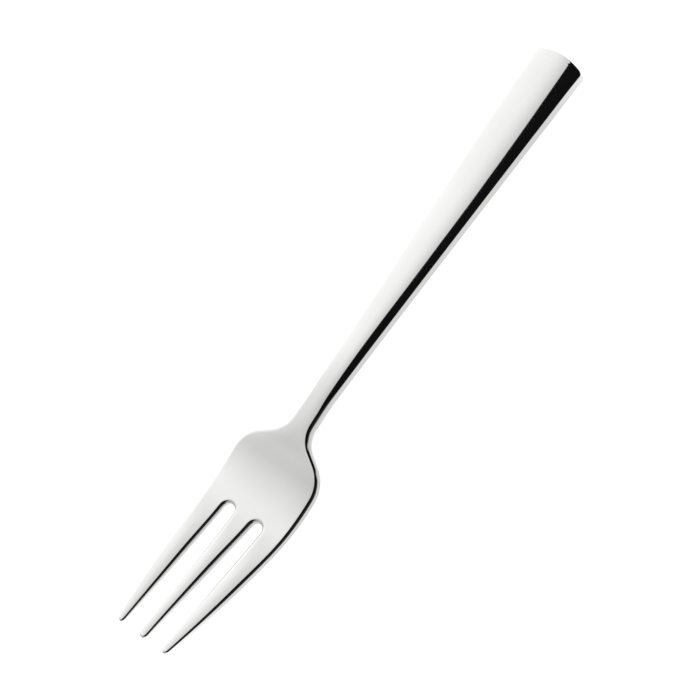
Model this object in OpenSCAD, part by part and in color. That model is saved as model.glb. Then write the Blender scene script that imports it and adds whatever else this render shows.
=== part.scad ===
// Pastry fork with three tines, stamped and drawn from one piece of steel.
// It lies as on a table: X runs from the points of the tines (-X) to the end of the
// handle (+X), Y runs across it and Z = 0 is the table.

/* [Length] */
// Overall length, from the points of the tines to the end of the handle
fork_l = 155; // [130:1:190]
// Length of the tines, from their points to the round roots of the slots
tine_l = 34.2; // [28:0.1:40]
// Length of the palm, from the roots of the slots to the start of the shoulders
palm_l = 10.5; // [7:0.1:14]

/* [Width] */
// Width across the points of the outer tines
points_w = 14.7; // [13:0.1:16]
// Width of the head at its widest place
head_w = 23.8; // [19:0.1:28]
// Width from which the handle's taper starts at the neck, without the flares beside it
neck_w = 5.2; // [4.5:0.1:7]
// Width of the handle at its end
handle_w = 13.4; // [9:0.1:18]

/* [Tines and slots] */
// Width of each outer tine at its point
outer_point_w = 1.7; // [1:0.1:2.4]
// Width of the middle tine at its point
middle_point_w = 2.2; // [1.4:0.1:3]
// Width of the middle tine at its root
middle_root_w = 5.3; // [4:0.1:6.4]
// Width of each slot at its root
slot_w = 2.9; // [2:0.1:3.4]
// Length over which the points of the tines are rounded off
point_r = 1.4; // [0.6:0.1:2]

/* [Shoulders and neck] */
// Outer radius of each shoulder
shoulder_r = 7.5; // [4:0.1:9]
// Inner radius between each shoulder and the neck
neck_r = 6; // [4:0.1:9]
// Flare that each side of the neck still has where that radius ends
neck_flare = 0.4; // [0:0.05:0.8]
// Length over which the flare runs out into the handle's taper
neck_flare_run = 7; // [3:0.5:12]
// Steepest slope of the shoulders, in degrees to the length
shoulder_angle = 57; // [40:1:65]

/* [Thickness] */
// Thickness of the tines at their points
point_t = 1.45; // [1.1:0.05:1.8]
// Thickness of the head
head_t = 1.65; // [1.4:0.05:2.4]
// Thickness where the neck meets the straight handle
neck_t = 2.15; // [1.8:0.05:2.8]
// Thickness of the handle's edges at its end
end_t = 2.65; // [1.8:0.05:3.2]
// Height of the crown above the handle's edges, at its end
crown_h = 1.35; // [0.7:0.05:1.6]
// Height of the crown above the handle's edges, where the handle begins
neck_crown_h = 0.65; // [0.3:0.05:0.9]
// Length over which that crown grows, from the shoulders on
crown_run = 19; // [12:1:30]
// Height of the crown on each tine, at its root end
tine_crown_h = 0.3; // [0:0.05:0.5]

/* [Side profile] */
// Angle at which the tines rise from the table, in degrees
tine_angle = 12.2; // [6:0.1:18]
// Angle at which the neck rises from the table, in degrees
neck_angle = 13.3; // [8:0.1:18]
// Distance from the roots of the slots to the middle of the belly's bend
belly_l = 4.2; // [2:0.1:6]
// Length of the bend under the belly of the head
belly_run = 18; // [10:1:22]
// Length of the bend between the neck and the handle
neck_run = 15; // [8:1:18]

/* [Edges] */
// Radius of the top edges on the palm and the shoulders
edge_r = 0.9; // [0.5:0.05:1]
// Length over which the top edges narrow into the crease, from the neck on
edge_run = 11; // [6:1:20]
// Radius of the top edges at the points of the tines
point_edge_r = 0.4; // [0.2:0.05:0.6]
// Radius of the crease between the handle's crown and its sides
crease_r = 0.2; // [0.1:0.05:0.5]
// Radius of the edges on the back
back_r = 0.4; // [0.2:0.05:0.6]
// Radius of the corners at the handle's end
corner_r = 0.8; // [0.5:0.1:3]
// How far the handle's end bows out beyond its corners
end_bow = 1.3; // [0:0.1:2]
// How far the handle's back rises from its middle to its sides, before it is ground
back_bulge = 0.12; // [0.08:0.01:0.3]
// What grinding the handle's back flat takes off it
back_skim = 0.06; // [0.02:0.01:0.07]

/* [Hidden] */

// How evenly the outline, the middle tine, the crown and the handle's taper swell:
// 1 is straight, and more keeps the swelling for the far end.
outline_swell = 1.85;
middle_swell = 1.3;
crown_swell = 2.3;
handle_swell = 1.15;
// The same for the crown's height along the handle, which rises most at the end
crown_rise = 3.5;
// Width and thickness left at the very points, as a share of what they have behind them
blunt_share = 0.4;
// Most that a rounded edge may take of the width that carries it, and most that the top's and
// the back's edges may take of the thickness
round_share = 0.42;
top_round_share = 0.55;
back_round_share = 0.3;
// Most that a slanted outline may stretch the band of a rounded edge
most_stretch = 2;
// Part of the neck's bend that lies past the inner radii of the shoulders
neck_bend_share = 0.25;
// Part of the tines over which their crown grows from the roots
crown_grow_share = 0.6;
// What a cut runs past the surface that it opens
overrun = 1;

// Facets: steps of each rounded edge, and columns from an edge of a tine to its middle
round_steps = 3;
half_columns = 5;
columns = 2 * half_columns;
bars = 3;
// Steps along the fork: its straight stretches take few, and its arcs take more
tine_steps = 9;
slot_steps = 7;
palm_steps = 4;
shoulder_steps = 6;
neck_steps = 3;
handle_steps = 12;
end_steps = 3;
corner_steps = 5;

// Round ends of the slots
slot_r = slot_w / 2;
slot_s = tine_l - slot_r;
inner_point_y = points_w / 2 - outer_point_w;
inner_root_y = middle_root_w / 2 + slot_w;
slot_mid_y = (middle_root_w / 2 + inner_root_y) / 2;

// Shoulders: an outer arc, a straight and an inner arc, on each side
shoulder_s = tine_l + palm_l;
draw_in = (head_w - neck_w) / 2 - neck_flare;
arcs_r = shoulder_r + neck_r;
slope_a = min(shoulder_angle, acos(max(0, 1 - draw_in / arcs_r)));
shoulder_straight = (draw_in - arcs_r * (1 - cos(slope_a))) / tan(slope_a);
outer_arc_s = shoulder_s + shoulder_r * sin(slope_a);
inner_arc_s = outer_arc_s + shoulder_straight;
neck_s = inner_arc_s + neck_r * sin(slope_a);

// Side profile of the top: three straight runs joined by two bends
tine_rise = tan(tine_angle);
neck_rise = tan(neck_angle);
belly_s = tine_l + belly_l;
bend_s = neck_s - neck_bend_share * neck_run;
belly_z = head_t - belly_run / 2 * tine_rise * neck_rise / (tine_rise + neck_rise);
bend_z = belly_z + neck_rise * (bend_s - belly_s);
handle_fall = (bend_z - end_t) / (fork_l - bend_s);

// The handle's back: one plane from the end of the neck's bend to the table
back_s = bend_s + neck_run / 2;
back_fall = (top_z(back_s) - thickness(back_s)) / (fork_l - back_s);
back_a = atan(back_fall);

// Share k of the way from a to b
function mix(a, b, k) = a + (b - a) * k;
// A smooth 0 to 1
function ease(k) = let (u = min(1, max(0, k))) u * u * (3 - 2 * u);
// What a bend of this length, centred at mid, adds to a line whose slope grows by 1
function bend(s, mid, run) =
    let (u = s - mid + run / 2)
    u <= 0 ? 0 : u >= run ? s - mid : u * u / (2 * run);
// Depth of a quarter round of radius r at distance d from its edge
function round_drop(d, r) = d >= r ? 0 : r - sqrt(r * r - pow(r - max(0, d), 2));

// Height of the top edges above the table, at distance s from the points
function top_z(s) =
    belly_z + tine_rise * (belly_s - s)
    + (tine_rise + neck_rise) * bend(s, belly_s, belly_run)
    - (neck_rise + handle_fall) * bend(s, bend_s, neck_run);

// How far the neck has turned into the handle: 0 at the shoulders, 1 where its crown is full
function handle_share(s) = ease((s - outer_arc_s) / crown_run);

// Thickness at the edges
function thickness(s) =
    s < slot_s ? mix(head_t, point_t, pow(1 - s / slot_s, 2))
    : s < back_s ? mix(head_t, neck_t, ease((s - shoulder_s) / (back_s - shoulder_s)))
    : mix(neck_t, end_t, (s - back_s) / (fork_l - back_s));

// What is left of width and thickness at the rounded points
function point_share(s) =
    s >= point_r ? 1 : sqrt(1 - pow(1 - s / point_r, 2) * (1 - pow(blunt_share, 2)));

// Half width of the outline, before the corners at the handle's end are rounded
function outline_y(s) =
    s < shoulder_s ? mix(head_w, points_w, pow(1 - s / shoulder_s, outline_swell)) / 2
    : s < outer_arc_s ? head_w / 2 - shoulder_r + sqrt(pow(shoulder_r, 2) - pow(s - shoulder_s, 2))
    : s < inner_arc_s ? head_w / 2 - shoulder_r * (1 - cos(slope_a)) - (s - outer_arc_s) * tan(slope_a)
    : s < neck_s ? neck_w / 2 + neck_flare + neck_r - sqrt(pow(neck_r, 2) - pow(neck_s - s, 2))
    : mix(neck_w, handle_w, pow((s - neck_s) / (fork_l - neck_s), handle_swell)) / 2
        + neck_flare * (1 - ease((s - neck_s) / neck_flare_run));

// Half width with the corners rounded
function half_w(s) = outline_y(s) - round_drop(fork_l - s, corner_r);

// Both sides of a slot, as distances from the middle, and past its root the line that it points along
function slot_in_y(s) =
    s < slot_s ? mix(middle_point_w / 2, middle_root_w / 2, pow(s / slot_s, middle_swell))
    : s < tine_l ? slot_mid_y - sqrt(pow(slot_r, 2) - pow(s - slot_s, 2))
    : slot_mid_y * outline_y(s) / outline_y(tine_l);
function slot_out_y(s) =
    s < slot_s ? mix(inner_point_y, inner_root_y, s / slot_s)
    : s < tine_l ? slot_mid_y + sqrt(pow(slot_r, 2) - pow(s - slot_s, 2))
    : slot_in_y(s);

// How much the outline's slant stretches the band of a rounded edge
function stretch(s) =
    let (step = crease_r, slant = (outline_y(s + step) - outline_y(s - step)) / (2 * step))
    min(most_stretch, sqrt(1 + slant * slant));

// Radius of the top edges: narrow at the points, wide on the palm, narrow along the handle
function top_r(s) =
    min(s < slot_s ? mix(point_edge_r, edge_r, s / slot_s) : mix(edge_r, crease_r, ease((s - neck_s) / edge_run)),
        top_round_share * thickness(s) * point_share(s));

// Radius of the edges on the back
function back_edge_r(s) = min(back_r, back_round_share * thickness(s) * point_share(s));

// Both edges of bar b: 0 and 2 are the outer tines and what follows them, 1 is the middle one
function bar_edges(s, b) =
    b == 1 ? [-slot_in_y(s), slot_in_y(s)]
    : b == 0 ? [-half_w(s), -slot_out_y(s)] : [slot_out_y(s), half_w(s)];

// Column j of bar b across the fork. Columns crowd at an edge and spread out evenly past the roots.
function column_y(s, b, j) =
    let (e = bar_edges(s, b),
         mid = (e[0] + e[1]) / 2,
         half = (e[1] - e[0]) / 2,
         low = j < half_columns,
         c = low ? j : columns - j,
         outer = b == 0 && low || b == 2 && !low,
         r = min(top_r(s) * (outer ? stretch(s) : 1), round_share * 2 * half),
         even = outer ? 0 : ease((s - tine_l - edge_r) / palm_l),
         crowded = c <= round_steps ? r * (1 - cos(90 * c / round_steps))
             : mix(r, half, (c - round_steps) / (half_columns - round_steps)),
         d = half - mix(crowded, half * c / half_columns, even))
    mid + (low ? -d : d) * point_share(s);

// Distance from the nearest edge: the outline, a slot or the handle's end
function edge_d(s, y) =
    min((half_w(s) - abs(y)) / stretch(s),
        fork_l - s,
        s < slot_s ? max(slot_in_y(s) - abs(y), abs(y) - slot_out_y(s))
        : norm([s - slot_s, abs(y) - slot_mid_y]) - slot_r);

// How far a rounded edge reaches here, thinned with the points
function edge_round(s, b, y, r) =
    let (e = bar_edges(s, b), f = point_share(s), half = (e[1] - e[0]) / 2,
         d = s < point_r ? half * f - abs(y - (e[0] + e[1]) / 2) : edge_d(s, y))
    round_drop(d, r);

// Crown of the handle, and of each tine from its root to its point
function crown(s, y) =
    let (full = mix(neck_crown_h, crown_h, pow(max(0, s - neck_s) / (fork_l - neck_s), crown_rise)))
    full * handle_share(s) * (1 - pow(min(1, abs(y) / outline_y(s)), crown_swell));
function tine_crown(s, b, y) =
    let (e = bar_edges(s, b),
         half = (e[1] - e[0]) / 2,
         share = half / ((outline_y(slot_s) - inner_root_y) / 2),
         across = (y - (e[0] + e[1]) / 2) / half)
    s >= slot_s ? 0
    : tine_crown_h * share * ease((slot_s - s) / (crown_grow_share * slot_s))
        * (1 - min(1, across * across));

// The end's bow, as the distance that a point lies back from the end's middle
function bow(s, y) = end_bow * pow(2 * y / handle_w, 2) * ease(1 - (fork_l - s) / (handle_w / 2));

function top_point(s, b, j) =
    let (y = column_y(s, b, j), at = s - bow(s, y), thin = thickness(s) / 2 * (1 - point_share(s)))
    [at - fork_l / 2, y,
     top_z(at) - thin + crown(s, y) + tine_crown(s, b, y) - edge_round(s, b, y, top_r(s))];

function back_point(s, b, j) =
    let (y = column_y(s, b, j), at = s - bow(s, y), thin = thickness(s) / 2 * (1 - point_share(s)),
         k = ease((s - back_s) / neck_run),
         bulge = back_bulge * k * pow(y / outline_y(s), 2),
         skim = back_skim * (2 * k - 1) * ease((s - neck_s) / neck_run))
    [at - fork_l / 2, y,
     top_z(at) - thickness(at) + thin + bulge - skim + edge_round(s, b, y, back_edge_r(s))];

// Stations along the fork, from the points to the end: close together where it curves
function steps(from, to, n) = [for (i = [0:n - 1]) mix(from, to, i / n)];

stations = concat(
    [for (i = [0:round_steps - 1]) point_r * (1 - cos(90 * i / round_steps))],
    steps(point_r, slot_s, tine_steps),
    [for (i = [0:slot_steps - 1]) slot_s + slot_r * sin(90 * i / slot_steps)],
    [for (i = [0:round_steps - 1]) tine_l + edge_r * (1 - cos(90 * i / round_steps))],
    steps(tine_l + edge_r, shoulder_s, palm_steps),
    [for (i = [0:shoulder_steps - 1]) shoulder_s + shoulder_r * sin(slope_a * i / shoulder_steps)],
    [outer_arc_s],
    [for (i = [shoulder_steps:-1:1]) neck_s - neck_r * sin(slope_a * i / shoulder_steps)],
    steps(neck_s, back_s, neck_steps),
    steps(back_s, fork_l - handle_w / 2, handle_steps),
    steps(fork_l - handle_w / 2, fork_l - corner_r, end_steps),
    [for (i = [0:corner_steps]) fork_l - corner_r * (1 - sin(90 * i / corner_steps))]);
last = len(stations) - 1;

// The station at the slots' very ends, from which the bars run together
root = round_steps + tine_steps + slot_steps;

// Number of a point. Past the roots of the slots, neighbouring bars share their edges.
function top_i(i, b, j) =
    i >= root && j == columns && b < bars - 1 ? top_i(i, b + 1, 0)
    : (i * bars + b) * (columns + 1) + j;
function back_i(i, b, j) = top_i(i, b, j) + len(stations) * bars * (columns + 1);

function quad(a, b, c, d) = [[a, b, c], [a, c, d]];
function side(i, b, j, out) =
    out ? quad(top_i(i, b, j), back_i(i, b, j), back_i(i + 1, b, j), top_i(i + 1, b, j))
    : quad(top_i(i, b, j), top_i(i + 1, b, j), back_i(i + 1, b, j), back_i(i, b, j));

module fork_blank() {
    points = [
        for (s = stations, b = [0:bars - 1], j = [0:columns]) top_point(s, b, j),
        for (s = stations, b = [0:bars - 1], j = [0:columns]) back_point(s, b, j)];
    faces = [
        for (i = [0:last - 1], b = [0:bars - 1], j = [0:columns - 1])
            each quad(top_i(i, b, j), top_i(i, b, j + 1), top_i(i + 1, b, j + 1), top_i(i + 1, b, j)),
        for (i = [0:last - 1], b = [0:bars - 1], j = [0:columns - 1])
            each quad(back_i(i, b, j), back_i(i + 1, b, j), back_i(i + 1, b, j + 1), back_i(i, b, j + 1)),
        for (i = [0:last - 1]) each side(i, 0, 0, false),
        for (i = [0:last - 1]) each side(i, bars - 1, columns, true),
        for (i = [0:root - 1], b = [0:bars - 2]) each side(i, b, columns, true),
        for (i = [0:root - 1], b = [1:bars - 1]) each side(i, b, 0, false),
        for (b = [0:bars - 1], j = [0:columns - 1])
            each quad(top_i(0, b, j), back_i(0, b, j), back_i(0, b, j + 1), top_i(0, b, j + 1)),
        for (b = [0:bars - 1], j = [0:columns - 1])
            each quad(top_i(last, b, j), top_i(last, b, j + 1), back_i(last, b, j + 1), back_i(last, b, j))];
    polyhedron(points, faces);
}

// The space under the ground back of the handle
module back_cut() {
    cut_l = (fork_l - back_s) / cos(back_a);
    translate([fork_l / 2, 0, 0])
        rotate([0, back_a, 0])
            translate([-cut_l, -handle_w / 2 - overrun, -2 * overrun])
                cube([cut_l + overrun, handle_w + 2 * overrun, 2 * overrun]);
}

module fork() {
    color("gainsboro")
        difference() {
            fork_blank();
            back_cut();
        }
}

fork();
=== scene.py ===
import math
from types import SimpleNamespace

import bmesh
import bpy
from mathutils import Matrix, Quaternion, Vector


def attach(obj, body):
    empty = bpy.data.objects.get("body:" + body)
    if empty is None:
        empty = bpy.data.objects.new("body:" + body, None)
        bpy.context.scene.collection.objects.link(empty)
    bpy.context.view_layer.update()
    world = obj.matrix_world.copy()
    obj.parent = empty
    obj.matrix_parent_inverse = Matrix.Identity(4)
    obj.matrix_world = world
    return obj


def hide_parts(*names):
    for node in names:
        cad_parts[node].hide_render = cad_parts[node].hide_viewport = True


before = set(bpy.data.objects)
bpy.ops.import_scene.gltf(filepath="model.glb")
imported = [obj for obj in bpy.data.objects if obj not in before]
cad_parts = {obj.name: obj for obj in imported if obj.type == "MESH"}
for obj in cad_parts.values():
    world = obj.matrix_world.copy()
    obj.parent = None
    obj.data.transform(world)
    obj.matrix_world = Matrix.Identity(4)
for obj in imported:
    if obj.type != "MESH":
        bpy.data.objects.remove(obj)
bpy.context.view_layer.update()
mm = 0.001


def mix(a, b, k):
    return a + (b - a) * k


def ease(k):
    k = min(1, max(0, k))
    return k * k * (3 - 2 * k)


# The fork, in millimetres and degrees. s is the distance from the points of the tines, y is across.
forkSize = {
    "length": 155, "tineLength": 34.2, "palmLength": 10.5,
    "pointsWidth": 14.7, "headWidth": 23.8, "neckWidth": 5.2, "handleWidth": 13.4,
    "outerPointWidth": 1.7, "middlePointWidth": 2.2, "middleRootWidth": 5.3, "slotWidth": 2.9,
    "pointLength": 1.4,
    "bluntShare": 0.4,  # part of the thickness that is left at the very points
    "shoulderRadius": 7.5, "shoulderAngle": 57, "neckRadius": 6, "neckFlare": 0.4, "neckFlareRun": 7,
    "pointThickness": 1.45, "headThickness": 1.65, "neckThickness": 2.15, "endThickness": 2.65,
    "crownHeight": 1.35, "neckCrownHeight": 0.65, "crownRise": 3.5, "crownSwell": 2.3,
    "crownRun": 30,  # from the end of the shoulders to where the handle's crown is whole
    "palmCrownHeight": 0.15, "palmCrownSwell": 6, "tineCrownHeight": 0.3,
    "tineCrownShare": 0.4,  # part of the tines over which their crown grows from the roots
    "tineAngle": 12.2, "neckAngle": 13.3, "bellyFromRoot": 4.2, "bellyRun": 18, "neckRun": 15,
    "neckBendShare": 0.25,  # part of the neck's bend that lies past the inner radii of the shoulders
    "topEdgeRadius": 0.9, "pointEdgeRadius": 0.4, "creaseRadius": 0.2, "backEdgeRadius": 0.4,
    "edgeRun": 11, "cornerRadius": 0.8, "endBow": 1.3,
    "backSkim": 0.06,  # most that is ground off the neck's back
    "outlineSwell": 1.85, "middleTineSwell": 1.3, "handleSwell": 1.15,
    "edgeShare": 0.42,  # most of the width that a rounded edge takes
    "topShare": 0.55, "backShare": 0.3,  # most of the thickness that the edges of top and back take
    "flatRim": 0.25,  # flat strip kept beside each rounded edge
}

# How finely the blank is divided: rows along the fork, columns from the middle to the edge
forkMesh = {
    "tip": 3, "tine": 22, "root": 8, "palm": 8, "shoulder": 7, "slant": 2,
    "inner": 7, "neck": 3, "handle": 44, "corner": 3,
    "middleColumns": 5, "outerColumns": 6, "edgeSteps": 4,
    "tineCrowding": 1.25,  # over 1, rows stand closer near the points
    "rootFan": 1.6,  # millimetres by which the rows at a slot's root fan out from it
    "wallStep": 0.25,  # how far the wall's first ring lies from the rounding towards the wall's middle
    "weld": 0.0005,  # millimetres within which the halves' vertices are joined
}

f = SimpleNamespace(**forkSize)
cells = SimpleNamespace(**forkMesh)
slotRadius = f.slotWidth / 2
slotEnd = f.tineLength - slotRadius  # where the round root starts
innerPointY = f.pointsWidth / 2 - f.outerPointWidth
innerRootY = f.middleRootWidth / 2 + f.slotWidth
slotMiddle = (f.middleRootWidth / 2 + innerRootY) / 2
shoulderStart = f.tineLength + f.palmLength
drawIn = (f.headWidth - f.neckWidth) / 2 - f.neckFlare
slope = math.radians(f.shoulderAngle)
bothArcs = f.shoulderRadius + f.neckRadius
shoulderEnd = shoulderStart + f.shoulderRadius * math.sin(slope)
slantEnd = shoulderEnd + (drawIn - bothArcs * (1 - math.cos(slope))) / math.tan(slope)
neckStart = slantEnd + f.neckRadius * math.sin(slope)
tineRise = math.tan(math.radians(f.tineAngle))
neckRise = math.tan(math.radians(f.neckAngle))
bellyAt = f.tineLength + f.bellyFromRoot
bendAt = neckStart - f.neckBendShare * f.neckRun
bellyZ = f.headThickness - f.bellyRun / 2 * tineRise * neckRise / (tineRise + neckRise)
bendZ = bellyZ + neckRise * (bendAt - bellyAt)
handleFall = (bendZ - f.endThickness) / (f.length - bendAt)
backStart = bendAt + f.neckRun / 2


def bend(s, middle, run):
    u = s - middle + run / 2
    if u <= 0:
        return 0
    return s - middle if u >= run else u * u / (2 * run)


def topZ(s):
    return (bellyZ + tineRise * (bellyAt - s)
            + (tineRise + neckRise) * bend(s, bellyAt, f.bellyRun)
            - (neckRise + handleFall) * bend(s, bendAt, f.neckRun))


def thickness(s):
    if s < slotEnd:
        return mix(f.headThickness, f.pointThickness, (1 - s / slotEnd) ** 2)
    if s < backStart:
        drawn = ease((s - shoulderStart) / (backStart - shoulderStart))
        return mix(f.headThickness, f.neckThickness, drawn)
    return mix(f.neckThickness, f.endThickness, (s - backStart) / (f.length - backStart))


def pointShare(s):  # what the rounded points keep of their thickness
    return math.sqrt(1 - max(0, 1 - max(0, s) / f.pointLength) ** 2 * (1 - f.bluntShare ** 2))


def thinning(s):
    return thickness(s) / 2 * (1 - pointShare(s))


backFall = (topZ(backStart) - thickness(backStart)) / (f.length - backStart)


def outlineY(s):
    if s < shoulderStart:
        return mix(f.headWidth, f.pointsWidth, max(0, 1 - s / shoulderStart) ** f.outlineSwell) / 2
    if s < shoulderEnd:
        return (f.headWidth / 2 - f.shoulderRadius
                + math.sqrt(f.shoulderRadius ** 2 - (s - shoulderStart) ** 2))
    if s < slantEnd:
        return (f.headWidth / 2 - f.shoulderRadius * (1 - math.cos(slope))
                - (s - shoulderEnd) * math.tan(slope))
    if s < neckStart:
        return (f.neckWidth / 2 + f.neckFlare + f.neckRadius
                - math.sqrt(f.neckRadius ** 2 - (neckStart - s) ** 2))
    along = (s - neckStart) / (f.length - neckStart)
    return (mix(f.neckWidth, f.handleWidth, along ** f.handleSwell) / 2
            + f.neckFlare * (1 - ease((s - neckStart) / f.neckFlareRun)))


def slotInnerY(s):
    k = min(1, max(0, s / slotEnd))
    return mix(f.middlePointWidth, f.middleRootWidth, k ** f.middleTineSwell) / 2


def slotOuterY(s):
    return mix(innerPointY, innerRootY, min(1, s / slotEnd))


def tineAt(s, y):  # middle line and half width of the tine that holds this place
    if y < (slotInnerY(s) + slotOuterY(s)) / 2:
        return 0, slotInnerY(s)
    return (slotOuterY(s) + outlineY(s)) / 2, (outlineY(s) - slotOuterY(s)) / 2


def handleShare(s):  # how far the neck has turned into the handle
    return math.sqrt(ease((s - shoulderEnd) / f.crownRun))


def crownZ(s, y):
    along = max(0, s - neckStart) / (f.length - neckStart)
    full = mix(f.neckCrownHeight, f.crownHeight, along ** f.crownRise)
    handleCrown = full * handleShare(s) * (1 - min(1, y / outlineY(s)) ** f.crownSwell)
    palmCrown = f.palmCrownHeight * ease((s - slotEnd) / f.palmLength) * (1 - handleShare(s))
    if s >= slotEnd:
        return handleCrown + palmCrown * (1 - min(1, y / outlineY(s)) ** f.palmCrownSwell)
    middle, half = tineAt(s, y)
    share = half / ((outlineY(slotEnd) - innerRootY) / 2)
    across = min(1, abs(y - middle) / half)
    grown = ease((slotEnd - s) / (f.tineCrownShare * slotEnd))
    return f.tineCrownHeight * share * grown * (1 - across * across)


def backZ(s, y):
    if s >= backStart:
        return backFall * (f.length - s)
    return topZ(s) - thickness(s) + thinning(s) + f.backSkim * ease((s - neckStart) / f.neckRun)


def topRadius(s):
    if s < slotEnd:
        radius = mix(f.pointEdgeRadius, f.topEdgeRadius, max(0, s) / slotEnd)
    else:
        radius = mix(f.topEdgeRadius, f.creaseRadius, ease((s - neckStart) / f.edgeRun))
    return min(radius, f.topShare * thickness(s) * pointShare(s))


def backRadius(s):
    return min(f.backEdgeRadius, f.backShare * thickness(s) * pointShare(s))


def bowed(s, y):  # the handle's end bows out in its middle
    near = ease(1 - (f.length - s) / (f.handleWidth / 2))
    return Vector((s - f.endBow * (2 * y / f.handleWidth) ** 2 * near, y, 0))


def steps(start, end, count):
    return [mix(start, end, (i + 1) / count) for i in range(count)]


# Rows of the blank: where each one meets the outline, and where it meets the slot's line
rootInset = f.topEdgeRadius + f.flatRim
tineRows = [mix(f.pointLength, slotEnd, k ** cells.tineCrowding) for k in steps(0, 1, cells.tine)]
rootRows = steps(slotEnd, f.tineLength + rootInset + cells.rootFan, cells.root)
palmRows = steps(rootRows[-1], shoulderStart, cells.palm)
shoulderRows = [shoulderStart + f.shoulderRadius * math.sin(a) for a in steps(0, slope, cells.shoulder)]
slantRows = steps(shoulderEnd, slantEnd, cells.slant)
innerRows = [neckStart - f.neckRadius * math.sin(slope - a) for a in steps(0, slope, cells.inner)]
neckRows = steps(neckStart, backStart, cells.neck)
handleRows = steps(backStart, f.length - f.cornerRadius, cells.handle)
cornerRows = steps(f.length - f.cornerRadius, f.length, cells.corner)
tipRows = steps(0, f.pointLength, cells.tip)
edgeRows = ([0] + tipRows + tineRows + rootRows + palmRows + shoulderRows + slantRows
            + innerRows + neckRows + handleRows + cornerRows)
slotAngles = [0] * (cells.tip + cells.tine + 1) + steps(0, math.pi / 2, cells.root)
rootRow = len(slotAngles) - 1
lastRow = len(edgeRows) - 1
slotLineRows = steps(f.tineLength + rootInset, shoulderStart, cells.palm)
slotColumn = cells.middleColumns
lastColumn = cells.middleColumns + cells.outerColumns
tipAngle = math.pi / 4  # where the point's end turns into its sides


def pointOutline(angle, outer):  # rounded point of a tine, 0 at its very end
    s = f.pointLength * (1 - math.cos(angle))
    middle, half = tineAt(s, slotOuterY(s) if outer else 0)
    return Vector((s, middle + half * math.sin(angle), 0))


def outlinePlace(row, column, outer):  # where a vertex on the rim of the blank lies
    side = (column - slotColumn) / cells.outerColumns if outer else column / slotColumn
    if row == 0:
        return pointOutline(mix(-tipAngle, tipAngle, side) if outer else tipAngle * side, outer)
    if row <= cells.tip:
        angle = mix(tipAngle, math.pi / 2, row / cells.tip)
        return pointOutline(-angle if outer and column == slotColumn else angle, outer)
    if column == slotColumn and row <= rootRow:
        turn = slotAngles[row]
        if turn == 0:
            s = edgeRows[row]
            return Vector((s, slotOuterY(s) if outer else slotInnerY(s), 0))
        y = slotRadius * math.cos(turn)
        return Vector((slotEnd + slotRadius * math.sin(turn), slotMiddle + (y if outer else -y), 0))
    start = lastRow - cells.corner
    if row <= start:
        s = edgeRows[row]
        return bowed(s, outlineY(s))
    cornerY = outlineY(f.length) - f.cornerRadius
    turnedRows, turnedColumns = cells.corner, cells.corner - 1
    step = row - start if column == lastColumn else turnedRows + lastColumn - column
    turn = math.pi / 2 * min(1, step / (turnedRows + turnedColumns + 1))
    if step >= turnedRows + turnedColumns + 1:
        flat = column / (lastColumn - turnedColumns - 1)
        return bowed(f.length, cornerY * flat)
    cornerS = f.length - f.cornerRadius * (1 - math.sin(turn))
    return bowed(cornerS, cornerY + f.cornerRadius * math.cos(turn))


def topHeight(s, y):
    return topZ(s) - thinning(s) + crownZ(s, y)


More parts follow.
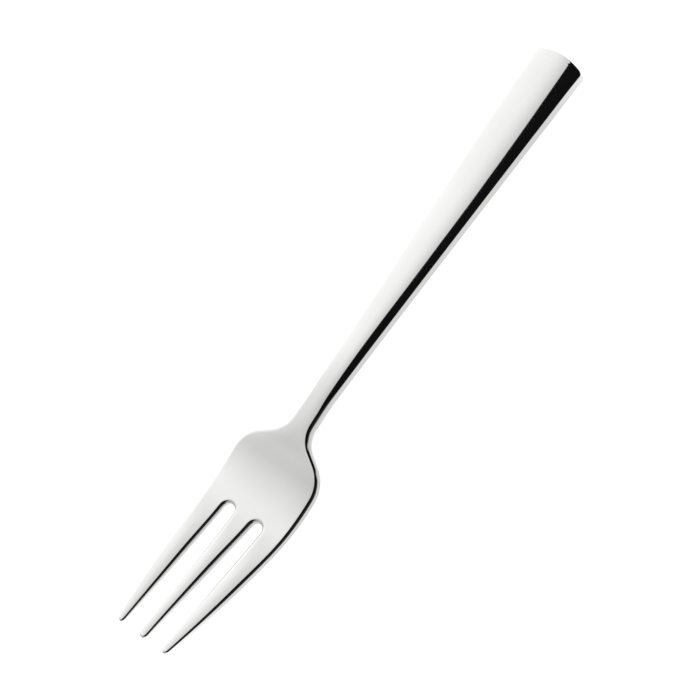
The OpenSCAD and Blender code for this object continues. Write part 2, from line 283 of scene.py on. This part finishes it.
def makeSkin(heightAt, radiusAt, flatRim, down):  # half of the top or back, out to the wall's middle
    bm = bmesh.new()
    rowOf = bm.verts.layers.int.new("row")
    columnOf = bm.verts.layers.int.new("column")
    outerOf = bm.verts.layers.int.new("outer")
    rimInner = bm.verts.layers.float_vector.new("rimInner")
    rimOuter = bm.verts.layers.float_vector.new("rimOuter")
    rimRadius = bm.verts.layers.float.new("rimRadius")
    roundShare = bm.verts.layers.float.new("roundShare")
    edgeWearAndShadeMask = bm.verts.layers.float.new("edgeWearAndShadeMask")
    bmesh.ops.create_grid(bm, x_segments=lastRow, y_segments=lastColumn, size=0.5)
    for v in bm.verts:
        v[rowOf] = round((v.co.x + 0.5) * lastRow)
        v[columnOf] = round((v.co.y + 0.5) * lastColumn)

    # The slot is slit open from the points to its root
    slit = [e for e in bm.edges
            if all(v[columnOf] == slotColumn and v[rowOf] <= rootRow for v in e.verts)]
    bmesh.ops.split_edges(bm, edges=slit)
    slitY = slotColumn / lastColumn - 0.5
    for v in bm.verts:
        faceY = sum(face.calc_center_median().y for face in v.link_faces) / len(v.link_faces)
        onSlit = v[columnOf] == slotColumn and (v[rowOf] >= rootRow or faceY > slitY)
        v[outerOf] = int(v[columnOf] > slotColumn or onSlit)
    at = {(v[rowOf], v[columnOf], v[outerOf]): v for v in bm.verts}
    for row in range(rootRow, lastRow + 1):
        at[row, slotColumn, 0] = at[row, slotColumn, 1]

    rimEdges = [e for e in bm.edges if e.is_boundary and any(v[columnOf] > 0 for v in e.verts)]
    rim = {v for e in rimEdges for v in e.verts}
    for v in rim:
        v.co = outlinePlace(v[rowOf], v[columnOf], v[outerOf])

    def spreadSheet():  # every row's inner vertices go evenly between its ends
        for row in range(1, lastRow):
            middle, edge = at[row, 0, 0], at[row, lastColumn, 1].co
            if row <= cells.tip:
                middle.co = bowed(mix(at[0, 0, 0].co.x, f.pointLength, row / cells.tip), 0)
            elif row > lastRow - cells.corner:
                past = (row - lastRow) / cells.corner + 1
                middle.co = bowed(mix(f.length - f.cornerRadius, at[lastRow, 0, 0].co.x, past), 0)
            else:
                middle.co = bowed(edgeRows[row], 0)
            if row > rootRow:
                slotLine = at[row, slotColumn, 1]
                slotLine.co = middle.co.lerp(edge, slotMiddle / outlineY(f.tineLength))
                if row - rootRow <= cells.palm:
                    slotLine.co.x = slotLineRows[row - rootRow - 1]
            for first, last, outer in ((0, slotColumn, 0), (slotColumn, lastColumn, 1)):
                a, b = at[row, first, outer].co, at[row, last, outer].co
                for column in range(first + 1, last):
                    at[row, column, outer].co = a.lerp(b, (column - first) / (last - first))

    spreadSheet()
    for v in rim:
        outward = Vector()
        for e in v.link_edges:
            if e in rimEdges:
                along = e.verts[1].co - e.verts[0].co
                n = Vector((along.y, -along.x, 0)).normalized()
                if n.dot(e.link_faces[0].calc_center_median() - e.verts[0].co) > 0:
                    n.negate()
                outward += n / along.length
        if v[columnOf] == 0:
            outward.y = 0
        s = v.co.x
        half = tineAt(s, v.co.y)[1] if v[rowOf] < rootRow else outlineY(s)
        radius = min(radiusAt(s), 2 * half * f.edgeShare)
        inset = radius + min(flatRim, (half - radius) / 2)
        v[rimOuter], v[rimRadius], v[roundShare] = v.co, radius, radius / inset
        if v[rowOf] <= cells.tip:
            centre = Vector((f.pointLength, tineAt(f.pointLength, v.co.y)[0], 0))
            v[rimInner] = v.co.lerp(centre, inset / half)
        else:
            v[rimInner] = v.co - outward.normalized() * inset
    for v in rim:
        v.co = v[rimInner]
    spreadSheet()
    for v in bm.verts:
        v.co.z = heightAt(v.co.x, v.co.y)

    # The rim is extruded ring by ring: a flat strip, a quarter round and the wall down to its middle
    ring = rimEdges
    wallRings = 2
    for step in range(1 + cells.edgeSteps + wallRings):
        grown = bmesh.ops.extrude_edge_only(bm, edges=ring)["geom"]
        fresh = {v for v in grown if isinstance(v, bmesh.types.BMVert)}
        ring = [e for e in grown
                if isinstance(e, bmesh.types.BMEdge) and all(v in fresh for v in e.verts)]
        turn = math.pi / 2 * min(1, step / cells.edgeSteps)
        for v in fresh:
            inner, outer, radius = v[rimInner].copy(), v[rimOuter].copy(), v[rimRadius]
            wallZ = (topHeight(outer.x, outer.y) + backZ(outer.x, outer.y)) / 2
            v.co = outer.lerp(inner, v[roundShare] * (1 - math.sin(turn)))
            v.co.z = heightAt(v.co.x, v.co.y) - down * radius * (1 - math.cos(turn))
            if step > cells.edgeSteps:
                v.co.z = mix(v.co.z, wallZ, cells.wallStep if step == cells.edgeSteps + 1 else 1)
            v[edgeWearAndShadeMask] = min(1, step / cells.edgeSteps)
    return bm


def makeFork():
    top = makeSkin(topHeight, topRadius, f.flatRim, 1)
    back = makeSkin(backZ, backRadius, f.flatRim / 2, -1)
    bmesh.ops.reverse_faces(back, faces=back.faces)
    backMesh = bpy.data.meshes.new("back")
    back.to_mesh(backMesh)
    back.free()
    top.from_mesh(backMesh)
    bpy.data.meshes.remove(backMesh)
    bmesh.ops.remove_doubles(top, verts=top.verts, dist=cells.weld)
    bmesh.ops.mirror(top, geom=top.verts[:] + top.edges[:] + top.faces[:], matrix=Matrix.Identity(4),
                     merge_dist=cells.weld, axis="Y")
    bmesh.ops.recalc_face_normals(top, faces=top.faces)
    bmesh.ops.translate(top, vec=(-f.length / 2, 0, 0), verts=top.verts)
    bmesh.ops.scale(top, vec=(mm, mm, mm), verts=top.verts)
    openEdges = [e for e in top.edges if not e.is_manifold]
    print("fork cage", len(top.faces), "faces,", len(openEdges), "open edges")
    mesh = bpy.data.meshes.new("fork_steel")
    top.to_mesh(mesh)
    top.free()
    for name in ("row", "column", "outer", "rimInner", "rimOuter", "rimRadius", "roundShare"):
        mesh.attributes.remove(mesh.attributes[name])
    mesh.shade_smooth()
    piece = bpy.data.objects.new("fork_steel", mesh)
    bpy.context.scene.collection.objects.link(piece)
    smooth = piece.modifiers.new("smooth", "SUBSURF")
    smooth.levels = smooth.render_levels = 1
    return piece


# Polished steel: depths in metres, scales per metre, and millimetres for where the painted shade on the
# neck starts and is whole, from the head and from the handle.
steelLook = {
    "lightTone": (0.615, 0.615, 0.61), "darkTone": (0.59, 0.59, 0.585),
    "cloudScale": 45, "cloudStretch": (1, 1, 1), "cloudDetail": 3,
    # painted shade on the neck: its colour is darkened where it should look shaded
    "paintedNeckShade": (0.83, 0.83, 0.83), "neckFrom": (-32, -23), "neckTo": (2, -16),
    "unshadedEdge": (0.6, 1),  # edge wear over which the painted shade on the neck fades out
    "noiseRange": (0.3, 0.7),  # what most of the noise lies within
    "polish": (0.03, 0.075), "edgeRoughness": 0.06,
    "hairScale": 60, "hairStretch": (1, 40, 40), "hairDetail": 4,
    "hairStrength": 0.15, "hairDepth": 0.000004,
    "rippleScale": 60, "rippleStretch": (1, 2.5, 2.5), "rippleDetail": 2,
    "rippleStrength": 0.3, "rippleDepth": 0.00003,
}


def makeSteel():
    steel = bpy.data.materials.new("polished_steel")
    steel.use_nodes = True
    nodes, links = steel.node_tree.nodes, steel.node_tree.links
    shader = nodes["Principled BSDF"]
    shader.inputs["Metallic"].default_value = 1

    def add(kind, **inputs):
        node = nodes.new(kind)
        for key, value in inputs.items():
            node.inputs[key.replace("_", " ")].default_value = value
        return node

    place = add("ShaderNodeTexCoord")

    def noise(part):
        mapping = add("ShaderNodeMapping", Scale=steelLook[part + "Stretch"])
        links.new(place.outputs["Object"], mapping.inputs["Vector"])
        made = add("ShaderNodeTexNoise", Scale=steelLook[part + "Scale"],
                   Detail=steelLook[part + "Detail"])
        links.new(mapping.outputs["Vector"], made.inputs["Vector"])
        return made.outputs["Fac"]

    def mapRange(value, fromMin, fromMax, toMin, toMax):
        node = add("ShaderNodeMapRange", From_Min=fromMin, From_Max=fromMax,
                   To_Min=toMin, To_Max=toMax)
        links.new(value, node.inputs["Value"])
        return node.outputs["Result"]

    clouds, hairlines, ripples = noise("cloud"), noise("hair"), noise("ripple")

    tone = nodes.new("ShaderNodeMix")
    tone.data_type = "RGBA"
    tone.inputs["A"].default_value = (*steelLook["darkTone"], 1)
    tone.inputs["B"].default_value = (*steelLook["lightTone"], 1)
    links.new(mapRange(clouds, *steelLook["noiseRange"], 0, 1), tone.inputs["Factor"])

    edgeWearAndShade = add("ShaderNodeAttribute")
    edgeWearAndShade.attribute_name = "edgeWearAndShadeMask"

    # Painted shade: the neck's colour is darkened below the head's and the handle's, but not on its
    # rounded edges
    split = nodes.new("ShaderNodeSeparateXYZ")
    links.new(place.outputs["Object"], split.inputs["Vector"])
    # mask of the painted shade on the neck, kept off the rounded edges
    drawn = mapRange(edgeWearAndShade.outputs["Fac"], *steelLook["unshadedEdge"], 1, 0)
    for start, end in (steelLook["neckFrom"], steelLook["neckTo"]):
        fade = mapRange(split.outputs["X"], start * mm, end * mm, 0, 1)
        fade.node.interpolation_type = "SMOOTHSTEP"
        both = nodes.new("ShaderNodeMath")
        both.operation = "MULTIPLY"
        links.new(drawn, both.inputs[0])
        links.new(fade, both.inputs[1])
        drawn = both.outputs["Value"]
    shade = nodes.new("ShaderNodeMix")
    shade.data_type, shade.blend_type = "RGBA", "MULTIPLY"
    shade.inputs["B"].default_value = (*steelLook["paintedNeckShade"], 1)
    links.new(drawn, shade.inputs["Factor"])
    links.new(tone.outputs["Result"], shade.inputs["A"])
    links.new(shade.outputs["Result"], shader.inputs["Base Color"])

    polish = mapRange(hairlines, *steelLook["noiseRange"], *steelLook["polish"])
    worn = mapRange(edgeWearAndShade.outputs["Fac"], 0, 1, 0, steelLook["edgeRoughness"])
    rough = nodes.new("ShaderNodeMath")
    rough.operation = "ADD"
    links.new(polish, rough.inputs[0])
    links.new(worn, rough.inputs[1])
    links.new(rough.outputs["Value"], shader.inputs["Roughness"])

    lines = add("ShaderNodeBump", Strength=steelLook["hairStrength"],
                Distance=steelLook["hairDepth"])
    links.new(hairlines, lines.inputs["Height"])
    waves = add("ShaderNodeBump", Strength=steelLook["rippleStrength"],
                Distance=steelLook["rippleDepth"])
    links.new(ripples, waves.inputs["Height"])
    links.new(lines.outputs["Normal"], waves.inputs["Normal"])
    links.new(waves.outputs["Normal"], shader.inputs["Normal"])
    return steel


fork = makeFork()
fork.data.materials.append(makeSteel())
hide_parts("fork")
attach(fork, "root")
print("fork made")

# The table glows more past the fork's far edge, its points and its end: painted pools of light on its
# even glow. Each glow has its axis, where it starts and is whole, in metres, and how much it adds.
table = {
    "width": 8, "tone": (0.08, 0.08, 0.08), "roughness": 0.9, "glow": 0.97,
    "farGlow": ("Y", 0, 0.014, 0.7),
    "pointsGlow": ("X", -0.058, -0.082, 0.6),
    "endGlow": ("X", 0.062, 0.085, 0.42),
}


def makeFloor():
    bm = bmesh.new()
    bmesh.ops.create_grid(bm, x_segments=1, y_segments=1, size=table["width"] / 2)
    mesh = bpy.data.meshes.new("floor")
    bm.to_mesh(mesh)
    bm.free()
    floor = bpy.data.objects.new("floor", mesh)
    bpy.context.scene.collection.objects.link(floor)
    paper = bpy.data.materials.new("white_table")
    paper.use_nodes = True
    shader = paper.node_tree.nodes["Principled BSDF"]
    shader.inputs["Base Color"].default_value = (*table["tone"], 1)
    shader.inputs["Roughness"].default_value = table["roughness"]
    shader.inputs["Specular IOR Level"].default_value = 0
    shader.inputs["Emission Color"].default_value = (1, 1, 1, 1)
    nodes, links = paper.node_tree.nodes, paper.node_tree.links
    place = nodes.new("ShaderNodeTexCoord")
    split = nodes.new("ShaderNodeSeparateXYZ")
    links.new(place.outputs["Object"], split.inputs["Vector"])
    total = None
    # painted light: each glow adds a pool of light to the table's even glow
    for part in ("farGlow", "pointsGlow", "endGlow"):
        axis, start, end, more = table[part]
        ramp = nodes.new("ShaderNodeMapRange")
        ramp.interpolation_type = "SMOOTHSTEP"
        for key, number in zip(("From Min", "From Max", "To Max"), (start, end, more)):
            ramp.inputs[key].default_value = number
        links.new(split.outputs[axis], ramp.inputs["Value"])
        added = nodes.new("ShaderNodeMath")
        added.inputs[1].default_value = table["glow"]
        links.new(ramp.outputs["Result"], added.inputs[0])
        if total:
            links.new(total, added.inputs[1])
        total = added.outputs["Value"]
    links.new(total, shader.inputs["Emission Strength"])
    mesh.materials.append(paper)


# The studio, by direction: a ramp starts, ends, and goes from one value to another.
# x is towards the handle's end, y towards the far side; "past" is how far past the panel's near edge.
studio = {
    "panel": 1.4, "panelEdge": 0.13, "panelEdgeRamp": (-0.01, 0.01, 0, 1),
    "unlit": (-0.95, -0.4, 0.05, 0.008),  # the room's faint glow, out to the dark overhead
    "horizonRamp": (0.12, 0.26, 1, 0),
    "nearRamp": (-0.5, -0.3, 1, 0),  # the side on which the horizon rises and the end is lit
    "horizonRise": (0.1, 0.3, 0, 0.1),
    "pointsFlank": (-0.62, -0.5, 1, 0), "endFlank": (0.54, 0.68, 0, 1),
    "alongPoints": (-0.6, 0.05, 0.58, 1.04), "alongEnd": (0.1, 0.45, 0, -0.15),
    "across": (0, 0.4, 0.66, 1), "acrossFar": (0.4, 0.85, 0, 0.07), "acrossLast": (0.78, 1, 0, 0.25),
    "endGlowAcross": (0.3, 0.7, 0, 0.3), "endGlowAlong": (0.2, 0.38, 0, 1),
}


def makeStudioSky():
    world = bpy.data.worlds.new("studio")
    bpy.context.scene.world = world
    world.use_nodes = True
    nodes, links = world.node_tree.nodes, world.node_tree.links
    background = nodes["Background"]
    place = nodes.new("ShaderNodeTexCoord")
    split = nodes.new("ShaderNodeSeparateXYZ")
    links.new(place.outputs["Generated"], split.inputs["Vector"])

    def combine(operation, a, b):
        node = nodes.new("ShaderNodeMath")
        node.operation = operation
        for socket, value in zip(node.inputs, (a, b)):
            if isinstance(value, (int, float)):
                socket.default_value = value
            else:
                links.new(value, socket)
        return node.outputs["Value"]

    def ramp(value, part, smooth=True):
        node = nodes.new("ShaderNodeMapRange")
        node.interpolation_type = "SMOOTHSTEP" if smooth else "LINEAR"
        for key, number in zip(("From Min", "From Max", "To Min", "To Max"), studio[part]):
            node.inputs[key].default_value = number
        links.new(value, node.inputs["Value"])
        return node.outputs["Result"]

    x, y, z = (split.outputs[axis] for axis in "XYZ")
    past = combine("SUBTRACT", y, combine("MULTIPLY", z, studio["panelEdge"]))
    panel = ramp(past, "panelEdgeRamp")
    near = ramp(y, "nearRamp")
    raised = combine("MULTIPLY", near, ramp(x, "horizonRise"))
    horizon = ramp(combine("SUBTRACT", z, raised), "horizonRamp")
    flanks = combine("MAXIMUM", ramp(x, "pointsFlank"), combine("MULTIPLY", near, ramp(x, "endFlank")))
    lit = combine("MAXIMUM", combine("MAXIMUM", panel, horizon), flanks)
    along = combine("ADD", ramp(x, "alongPoints"), ramp(x, "alongEnd"))
    farSide = combine("ADD", ramp(past, "acrossFar"), ramp(past, "acrossLast"))
    endSide = combine("MULTIPLY", ramp(past, "endGlowAcross"), ramp(x, "endGlowAlong"))
    across = combine("ADD", ramp(past, "across", smooth=False), combine("ADD", farSide, endSide))
    bright = combine("MULTIPLY", combine("MULTIPLY", along, across), studio["panel"])
    level = combine("ADD", combine("MULTIPLY", lit, bright), ramp(y, "unlit"))
    links.new(level, background.inputs["Strength"])
    background.inputs["Color"].default_value = (1, 1, 1, 1)


# A lamp for the table, in metres and watts, that the steel doesn't mirror
overhead = {"width": 1.6, "power": 20, "place": (0, 0.1, 1.3)}


def makeLamp():
    lamp = bpy.data.lights.new("overhead", "AREA")
    lamp.shape = "SQUARE"
    lamp.size = overhead["width"]
    lamp.energy = overhead["power"]
    holder = bpy.data.objects.new("overhead", lamp)
    holder.location = overhead["place"]
    holder.visible_glossy = False
    bpy.context.scene.collection.objects.link(holder)


# The camera as fitted to the photo, in millimetres and degrees
view = {
    "place": (-37.402, -298.537, 564.13), "aim": (-1.445, 1.142, 3), "roll": -49.125,
    "lens": 151.764, "sensor": 36,
}


def makeCamera():
    place, aim = Vector(view["place"]), Vector(view["aim"])
    camera = bpy.data.cameras.new("camera")
    camera.lens, camera.sensor_width = view["lens"], view["sensor"]
    holder = bpy.data.objects.new("camera", camera)
    holder.location = place * mm
    holder.rotation_mode = "QUATERNION"
    level = (aim - place).to_track_quat("-Z", "Y")
    holder.rotation_quaternion = level @ Quaternion((0, 0, 1), math.radians(view["roll"]))
    bpy.context.scene.collection.objects.link(holder)
    bpy.context.scene.camera = holder


makeFloor()
makeStudioSky()
makeLamp()
makeCamera()
bpy.context.scene.view_settings.view_transform = "Standard"
print("studio made")
